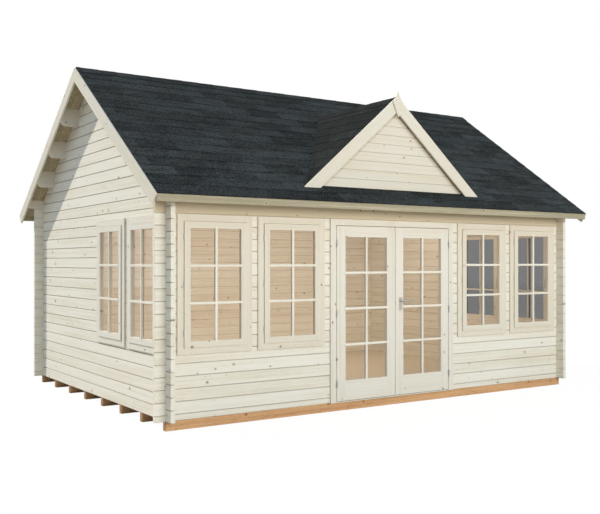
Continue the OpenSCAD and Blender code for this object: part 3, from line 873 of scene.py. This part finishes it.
class SUMMERHOUSE_OT_roof_boards(bpy.types.Operator):
    """Lays the roof boards from the ridges to the eaves, with V joints towards the room"""
    bl_idname = "summer_house.roof_boards"
    bl_label = "Roof Boards"

    def execute(self, context):
        looks = context.scene.summer_house_roof
        wood = context.scene.summer_house_timber
        # The roof boards' darker colour is painted soffit shade
        finish = timber("roof_wood", wood, wood.boards, axes="yxz", chance=own_board, knots=0.35)
        gable_finish = timber(
            "gable_roof_wood", wood, wood.boards, axes="xyz", chance=own_board, knots=0.35)
        for side, node in ((-1, "roof_boards_front"), (1, "roof_boards_back")):
            slope = Slope(node, Y, side)
            low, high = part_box(node)
            piece = self.slope_boards(node.replace("roof", "laid_roof"), looks, slope,
                                      low.x, high.x, finish, seed=side + 2)
            settle(piece, "house", "roof_wood", node)
        self.gable_roof(looks, gable_finish)
        return {"FINISHED"}

    def slope_boards(self, name, looks, slope, start, end, finish, seed):
        """Boards side by side, each from the ridge to the eave."""
        count = round((end - start) / looks.board)
        pitch = (end - start) / count
        section = chamfered(pitch - BOARD_GAP, 0.0, slope.thickness, foot=looks.board_joint)
        shear = math.tan(slope.pitch)
        board = template("roof_board", (section, 0.0, slope.length, shear))
        first = slope.place(start)
        ahead = (first.to_3x3() @ Vector((1, 0, 0)))[1 - slope.axis]
        first = slope.place(start + pitch / 2 if ahead > 0 else end - pitch / 2)
        piece = copies(name, board, finish, first, columns=count, column_pitch=pitch, seed=seed)
        clear_away(board)
        return piece

    def gable_roof(self, looks, finish):
        """The front gable's two slopes, cut where they land on the main roof."""
        node = "dormer_boards"
        low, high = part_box(node)
        point, outward = Slope("shingles_front", Y, -1).top_plane()
        sides = []
        for side in (-1, 1):
            slope = Slope(node, X, side)
            piece = self.slope_boards("gable_roof_side", looks, slope, low.y, high.y, finish,
                                      seed=side + 5)
            cut(piece, point, -outward)
            sides.append(piece)
        settle(joined("laid_gable_roof_boards", sides), "house", "roof_wood", node)


class SUMMERHOUSE_OT_gable_boards(bpy.types.Operator):
    """Clads the front gable with level boards"""
    bl_idname = "summer_house.gable_boards"
    bl_label = "Gable Boards"

    def execute(self, context):
        looks = context.scene.summer_house_roof
        wood = context.scene.summer_house_timber
        node = "dormer_gable"
        low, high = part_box(node)
        rows = math.ceil((high.z - low.z) / looks.cladding)
        thickness = high.y - low.y - looks.cladding_recess
        section = chamfered(
            looks.cladding - BOARD_GAP, 0.0, thickness, head=looks.board_joint / 2)
        board = template("gable_board", (section, low.x, high.x))
        barge = Slope("dormer_barge_boards", X, -1)
        level_joints = seams(low.z, looks.cladding, 0.2)
        barge_depth = 0.45

        def joints(x, y, z):
            """The level joints, and the shade where the boards go in behind the barge boards."""
            drop = barge.foot - z - (abs(x) - barge.near) * math.tan(barge.pitch)
            shade = 1.0 - drop * math.cos(barge.pitch) / looks.barge_shade
            return level_joints(x=x, y=y, z=z) + shade.clamp() * barge_depth

        finish = timber("gable_wood", wood, wood.trim, axes="xzy", chance=own_board, knots=0.18,
                        dark=joints)
        place = on_wall("front", 0.0, low.z + looks.cladding / 2, high.y, across=True)
        boards = copies(
            "gable_cladding", board, finish, place, columns=rows, column_pitch=looks.cladding,
            seed=3)
        clear_away(board)
        for side in (-1, 1):
            point, outward = Slope("dormer_boards", X, side).foot_plane()
            cut(boards, point, outward)
        point, outward = Slope("shingles_front", Y, -1).top_plane()
        cut(boards, point, -outward)
        settle(boards, "house", "trim_wood", node)
        return {"FINISHED"}


class SUMMERHOUSE_OT_shingles(bpy.types.Operator):
    """Covers the slopes with rows of shingle tabs and their ridges with caps"""
    bl_idname = "summer_house.shingles"
    bl_label = "Shingles"

    def execute(self, context):
        looks = context.scene.summer_house_roof
        finish = shingle_finish("mineral_shingle", looks)
        # The front gable's shingles get painted shade against the sun on their slope
        gable_finish = shingle_finish("gable_shingle", looks, looks.gable_painted_shade)
        main = {}
        for side, node in ((-1, "shingles_front"), (1, "shingles_back")):
            main[side] = Slope(node, Y, side)
            low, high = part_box(node)
            piece = self.covering(node.replace("shingles", "shingle_rows"), looks, main[side],
                                  low.x, high.x, finish, seed=side + 11)
            self.trim_ends(piece, low, high)
            if side < 0:
                caps = self.caps(looks, main[side], low.x, high.x, finish)
                self.trim_ends(caps, low, high)
                piece = joined(piece.name, [piece, caps])
            settle(piece, "house", "shingle", node)
        self.gable_covering(looks, main[-1], gable_finish)
        return {"FINISHED"}

    def trim_ends(self, piece, low, high):
        """Cuts a piece off at both ends of the roof."""
        cut(piece, (low.x, 0, 0), (-1, 0, 0))
        cut(piece, (high.x, 0, 0), (1, 0, 0))

    def covering(self, name, looks, slope, start, end, finish, seed):
        """A base sheet and, over it, tabs that lap each other down the slope."""
        shear = math.tan(slope.pitch)
        base = slope.thickness / 2
        edge = looks.tab_edge
        half = (end - start) / 2
        sheet = template("base_sheet", (chamfered(2 * half, 0.0, base), 0.0, slope.length, shear))
        middle = slope.place((start + end) / 2)
        under = copies("under_sheet", sheet, finish, middle, seed=seed)
        height = looks.exposure + looks.head_lap
        width = looks.tab - looks.slot
        sunk = 0.0005
        # Down the slope and out of it: thin at the head, eased at the lower edge
        outline = [(0.0, 0.0), (height - 0.001, edge * 0.4), (height, edge * 0.8),
                   (height, 2 * edge - 0.0008), (height - 0.0012, 2 * edge), (0.0, edge * 0.5)]
        tab = template("shingle_tab", (outline, -width / 2, width / 2, 0.0, X))
        rows = math.ceil(slope.length / looks.exposure)
        columns = math.ceil((end - start) / looks.tab) + 2
        overhang = base * shear
        lowest = slope.length - overhang - (rows - 1) * looks.exposure - height
        place = middle @ Matrix.Translation((-columns * looks.tab / 2, lowest, base - sunk))
        tabs = copies(name, tab, finish, place, columns=columns, rows=rows,
                      column_pitch=looks.tab, row_pitch=looks.exposure, row_shift=looks.tab / 2,
                      wander=0.004, lift=0.0008, seed=seed)
        ridge = slope.place(0).translation
        outward = Vector((0, 0, 0))
        outward[slope.axis] = -slope.side
        cut(tabs, ridge, outward)
        clear_away(sheet, tab)
        return joined(name, [tabs, under])

    def caps(self, looks, slope, start, end, finish):
        """Bent caps along a ridge, each lapping the one before it."""
        edge = looks.tab_edge
        wing = looks.cap_wing
        level, drop = wing * math.cos(slope.pitch), wing * math.sin(slope.pitch)
        thick = edge / math.cos(slope.pitch)
        section = [(0.0, 0.0), (-level, -drop), (-level, -drop + thick), (0.0, thick),
                   (level, -drop + thick), (level, -drop)]
        length = looks.cap + looks.head_lap
        cap = template("ridge_cap", (section, 0.0, length, 0.0))
        for vertex in cap.data.vertices:
            vertex.co.z += edge * vertex.co.y / length
        count = math.ceil((end - start) / looks.cap) + 1
        top = slope.foot + slope.thickness / math.cos(slope.pitch)
        top += slope.near * math.tan(slope.pitch)
        turn = Matrix.Rotation(0.0 if slope.axis == X else -math.pi / 2, 4, "Z")
        spot = (0.0, start - looks.cap, top) if slope.axis == X else (start - looks.cap, 0.0, top)
        place = Matrix.Translation(spot) @ turn
        made = copies("ridge_caps", cap, finish, place, rows=count, row_pitch=looks.cap,
                      wander=0.002, seed=21)
        clear_away(cap)
        return made

    def gable_covering(self, looks, main, finish):
        """The front gable's slopes, cut at the valleys."""
        node = "dormer_shingles"
        low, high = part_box(node)
        point, outward = main.top_plane()
        pieces = []
        for side in (-1, 1):
            slope = Slope(node, X, side)
            piece = self.covering("gable_shingle_side", looks, slope, low.y, high.y, finish,
                                  seed=side + 31)
            cut(piece, (0, low.y, 0), (0, -1, 0))
            pieces.append(piece)
        caps = self.caps(looks, slope, low.y, high.y, finish)
        cut(caps, (0, low.y, 0), (0, -1, 0))
        whole = joined("shingle_rows_gable", [*pieces, caps])
        cut(whole, point, -outward)
        settle(whole, "house", "shingle", node)


class SUMMERHOUSE_OT_glazing(bpy.types.Operator):
    """Glazes the doors and windows, and puts glazing bars on both sides of the glass"""
    bl_idname = "summer_house.glazing"
    bl_label = "Glazing"

    def execute(self, context):
        looks = context.scene.summer_house_glazing
        wood = context.scene.summer_house_timber
        clear = glass_finish("clear_glass", looks.clear)
        # The right side's glass is darkened as painted shade
        toned = glass_finish("toned_glass", looks.toned)
        dress(clear, "window_glass_front", "window_glass_left", "door_glass_left",
              "door_glass_right")
        dress(toned, "window_glass_right")
        upright = timber("upright_bar_wood", wood, wood.spruce, axes="zxy", knots=0.0)
        level = timber("level_bar_wood", wood, wood.spruce, axes="xzy", knots=0.0)
        side_level = timber("side_level_bar_wood", wood, wood.spruce, axes="yzx", knots=0.0)
        for side, axis, finish in (
                ("front", X, level), ("left", Y, side_level), ("right", Y, side_level)):
            self.bars(f"window_bars_{side}", looks, side, f"window_glass_{side}",
                      f"window_sashes_{side}", axis, looks.window_rows, upright, finish, "house")
        for hand in ("left", "right"):
            self.bars(f"door_bars_{hand}", looks, "front", f"door_glass_{hand}",
                      f"door_leaf_{hand}", X, looks.door_rows, upright, level, f"door_{hand}")
        return {"FINISHED"}

    def bars(self, name, looks, side, glass, carrier, axis, rows, upright, level, body):
        """One upright bar and some level ones over each pane of glass."""
        depth_axis = 1 - axis
        low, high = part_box(glass)
        outer = OUTWARD[side]
        face, front = (extent(node, depth_axis, outer) for node in (glass, carrier))
        back, rear = (-extent(node, depth_axis, -outer) for node in (glass, carrier))
        inner = max(rear, back - looks.bar_inside)
        rib = front - face - GLASS_GAP
        behind = front - back + GLASS_GAP
        lap, cap, width = looks.bar_lap, looks.bar_cap, looks.bar
        edge, level_step = 0.002, 0.001
        core = width - 2 * edge
        pieces = []
        for start, end in stretches(glass, axis):
            for spans, count, finish, across in (
                    ((end - start, high.z - low.z), 1, upright, False),
                    ((high.z - low.z, end - start), rows - 1, level, True)):
                run, length = spans
                step = run / (count + 1)
                proud = cap + (level_step if across else 0.0)
                half = length / 2
                bar = template(
                    "glazing_bar",
                    (chamfered(width, 0.0, proud, head=edge), -half - lap, half + lap),
                    (chamfered(core, -rib, 0.0), -half, half),
                    (chamfered(core, inner - front, -behind, foot=edge), -half, half))
                middle = (start + end) / 2
                height = low.z + step if across else (low.z + high.z) / 2
                place = on_wall(side, middle, height, outer * front, across)
                pieces.append(copies(
                    name, bar, finish, place, columns=count, column_pitch=step, seed=len(pieces)))
                clear_away(bar)
        settle(joined(name, pieces), body, "joinery_wood")


class SUMMERHOUSE_OT_fittings(bpy.types.Operator):
    """Gives the door fittings their steel, and adds the windows' hinges and catches"""
    bl_idname = "summer_house.fittings"
    bl_label = "Fittings"

    def execute(self, context):
        looks = context.scene.summer_house_fittings
        steel = steel_finish(looks)
        dress(steel, "hinge_pins", "hinge_barrels_left", "hinge_barrels_right", "handle_plates",
              "door_lever")
        for side, axis in (("front", X), ("left", Y), ("right", Y)):
            self.window_hinges(looks, side, axis, steel)
            self.window_catches(looks, side, axis, steel)
        return {"FINISHED"}

    def window_hinges(self, looks, side, axis, steel):
        """Three hinges on the left edge of each sash, seen from outside."""
        radius, tall = looks.barrel, looks.barrel_height
        ring = oval(radius, radius, 12)
        gap = 0.0012
        hinge = template(
            "window_hinge",
            (ring, -tall / 2, -tall / 6 - gap), (ring, -tall / 6 + gap, tall / 6 - gap),
            (ring, tall / 6 + gap, tall / 2))
        low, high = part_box(f"window_sashes_{side}")
        outer = OUTWARD[side]
        front = extent(f"window_frames_{side}", 1 - axis, outer)
        lowest = low.z + 0.12 * (high.z - low.z)
        spacing = 0.38 * (high.z - low.z)
        panes = stretches(f"window_glass_{side}", axis)
        stile = panes[0][0] - low[axis]
        pieces = []
        for start, end in panes:
            run = end + stile + radius if side == "left" else start - stile - radius
            place = on_wall(side, run, lowest, outer * (front + radius))
            pieces.append(copies("window_hinge_set", hinge, steel, place, rows=3,
                                 row_pitch=spacing, seed=len(pieces)))
        clear_away(hinge)
        settle(joined(f"window_hinges_{side}", pieces), "house", "fitting_metal")

    def window_catches(self, looks, side, axis, steel):
        """A catch inside each sash, on the stile away from the hinges."""
        low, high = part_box(f"window_sashes_{side}")
        outer = OUTWARD[side]
        inner = -extent(f"window_sashes_{side}", 1 - axis, -outer)
        panes = stretches(f"window_glass_{side}", axis)
        stile = panes[0][0] - low[axis]
        plate, stand_off, lever_top = 0.008, 0.034, 0.009
        catch = template(
            "window_catch",
            (oval(0.013, 0.03, 16), 0.0, plate),
            (oval(0.00624, 0.00624, 16), plate, stand_off + 0.002),
            (oval(0.009, 0.007, 12, stand_off), lever_top, lever_top - looks.catch, 0.0, Z))
        turn = Matrix.Rotation(WALL_TURNS[side], 4, "Z")
        pieces = []
        for start, end in panes:
            run = start - stile / 2 if side == "left" else end + stile / 2
            place = wall_spot(side, run, (low.z + high.z) / 2, outer * inner) @ turn
            pieces.append(copies("window_catch_set", catch, steel, place, seed=len(pieces)))
        clear_away(catch)
        settle(joined(f"window_catches_{side}", pieces), "house", "fitting_metal")


class SUMMERHOUSE_OT_stage(bpy.types.Operator):
    """Sets the camera, the lamps and a pale floor"""
    bl_idname = "summer_house.stage"
    bl_label = "Stage"

    def execute(self, context):
        looks = context.scene.summer_house_stage
        self.floor(looks)
        self.camera(context, looks)
        self.lamps(looks)
        self.sky(context, looks)
        context.scene.view_settings.view_transform = "Standard"
        return {"FINISHED"}

    def floor(self, looks):
        half, sunk = looks.floor / 2, 0.0005
        mesh = bpy.data.meshes.new("pale_floor")
        ends = [(-half, -half), (half, -half), (half, half), (-half, half)]
        mesh.from_pydata([(x, y, -sunk) for x, y in ends], [], [(0, 1, 2, 3)])
        floor = new_object("pale_floor", mesh)
        mesh.materials.append(floor_finish())

    def camera(self, context, looks):
        data = bpy.data.cameras.new("front_left_view")
        data.sensor_fit = "HORIZONTAL"
        data.sensor_width = 36.0
        data.lens = looks.lens
        camera = new_object("front_left_view", data)
        camera.location = looks.eye
        camera.rotation_euler = looks.aim
        context.scene.camera = camera

    def lamps(self, looks):
        sun = bpy.data.lights.new("low_sun", "SUN")
        sun.energy = looks.sun
        sun.color = (1.0, 0.945, 0.865)
        sun.angle = math.radians(1.5)
        new_object("low_sun", sun).rotation_euler = (
            Vector(looks.sun_path).to_track_quat("-Z", "Y").to_euler())
        self.area("front_lamp", looks.front, spot=(0.6, -12.5, 3.9), target=(0.3, 0.0, 1.4),
                  size=(8.5, 4.0), colour=(1.0, 0.96, 0.89))
        self.area("room_lamp", looks.inside, spot=(0.0, 0.1, 2.9), target=(0.0, 0.1, 0.0),
                  size=(4.4, 0.8), colour=(1.0, 0.935, 0.865))

    def area(self, name, power, spot, target, size, colour):
        data = bpy.data.lights.new(name, "AREA")
        data.shape = "RECTANGLE"
        data.size, data.size_y = size
        data.energy = power
        data.color = colour
        lamp = new_object(name, data)
        lamp.location = spot
        aim = Vector(target) - Vector(spot)
        lamp.rotation_euler = aim.to_track_quat("-Z", "Y").to_euler()
        lamp.visible_camera = False
        lamp.visible_glossy = False

    def sky(self, context, looks):
        world = bpy.data.worlds.new("soft_sky")
        world.use_nodes = True
        context.scene.world = world
        graph = Graph(world.node_tree)
        graph.tree.nodes.clear()
        path = graph.add("ShaderNodeLightPath", output="Is Camera Ray")
        seen = (path + path.out("Is Glossy Ray") + path.out("Is Transmission Ray")).clamp()
        height = graph.place()[Z]
        soft = graph.mix(height.clamp(), looks.horizon, looks.sky)
        colour = graph.mix(seen, soft, (1.0, 1.0, 1.0))
        light = graph.add("ShaderNodeBackground", {}, {"Color": colour, "Strength": 1.0})
        graph.add("ShaderNodeOutputWorld", {}, {"Surface": light})


OPERATORS = (
    SUMMERHOUSE_OT_timber, SUMMERHOUSE_OT_floor_boards, SUMMERHOUSE_OT_roof_boards,
    SUMMERHOUSE_OT_gable_boards, SUMMERHOUSE_OT_shingles, SUMMERHOUSE_OT_glazing,
    SUMMERHOUSE_OT_fittings, SUMMERHOUSE_OT_stage,
)
SETTINGS = {
    "summer_house_timber": TimberLooks, "summer_house_roof": RoofLooks,
    "summer_house_glazing": GlazingLooks, "summer_house_fittings": FittingLooks,
    "summer_house_stage": StageLooks,
}


class SUMMERHOUSE_PT_looks(bpy.types.Panel):
    """Lists the steps that dress the summer house"""
    bl_label = "Summer House"
    bl_space_type = "VIEW_3D"
    bl_region_type = "UI"
    bl_category = "Summer House"

    def draw(self, context):
        for operator in OPERATORS:
            self.layout.operator(operator.bl_idname)


def register():
    for name, group in SETTINGS.items():
        bpy.utils.register_class(group)
        setattr(bpy.types.Scene, name, bpy.props.PointerProperty(type=group))
    for kind in (*OPERATORS, SUMMERHOUSE_PT_looks):
        bpy.utils.register_class(kind)


def unregister():
    for kind in (SUMMERHOUSE_PT_looks, *reversed(OPERATORS)):
        bpy.utils.unregister_class(kind)
    for name, group in SETTINGS.items():
        delattr(bpy.types.Scene, name)
        bpy.utils.unregister_class(group)


def main():
    register()
    bpy.ops.summer_house.timber()
    bpy.ops.summer_house.floor_boards()
    bpy.ops.summer_house.roof_boards()
    bpy.ops.summer_house.gable_boards()
    bpy.ops.summer_house.shingles()
    bpy.ops.summer_house.glazing()
    bpy.ops.summer_house.fittings()
    bpy.ops.summer_house.stage()
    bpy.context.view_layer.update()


if __name__ == "__main__":
    main()
